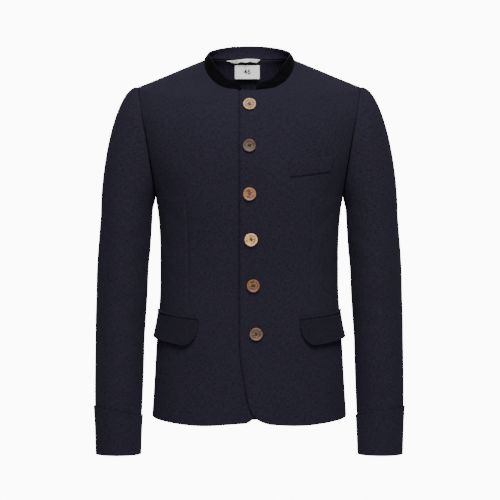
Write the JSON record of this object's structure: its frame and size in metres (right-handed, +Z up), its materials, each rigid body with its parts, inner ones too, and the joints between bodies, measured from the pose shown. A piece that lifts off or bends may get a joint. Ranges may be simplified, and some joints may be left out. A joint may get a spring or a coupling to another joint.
{
  "type": "alpine folk coat",
  "caption": "Short fitted dark blue folk coat, hollow as worn, with a black stand collar, antler buttons, flapped pockets and turned-back cuffs.",
  "frame": {"origin": "middle of the shoulders, at the height where the shoulder seams meet the collar", "axes": "+Z up along the body, -Y out of the coat's front, +X towards the wearer's left"},
  "size_m": [0.5572, 0.2364, 0.7374],
  "materials": {
    "cloth": "dark blue mixed wool with a fine crossed weave, matt",
    "collar_black": "black napped cloth, soft sheen at the edges",
    "ribbon": "ivory satin ribbon",
    "label_white": "white woven tape",
    "antler": "cut antler, mottled cream to brown, softly polished"
  },
  "bodies": {
    "root": {"front_left": "cloth", "front_right": "cloth", "back_left": "cloth", "back_right": "cloth", "sleeve_left": "cloth", "sleeve_right": "cloth", "cuff_left": "cloth", "cuff_right": "cloth", "collar": "collar_black", "collar_facing": "cloth", "back_facing": "cloth", "label": "label_white", "hanger_loop": "ribbon", "flap_left": "cloth", "flap_right": "cloth", "piping_left": "cloth", "piping_right": "cloth", "breast_welt": "cloth", "button_1": "antler", "button_2": "antler", "button_3": "antler", "button_4": "antler", "button_5": "antler", "button_6": "antler"}
  },
  "joints": []
}
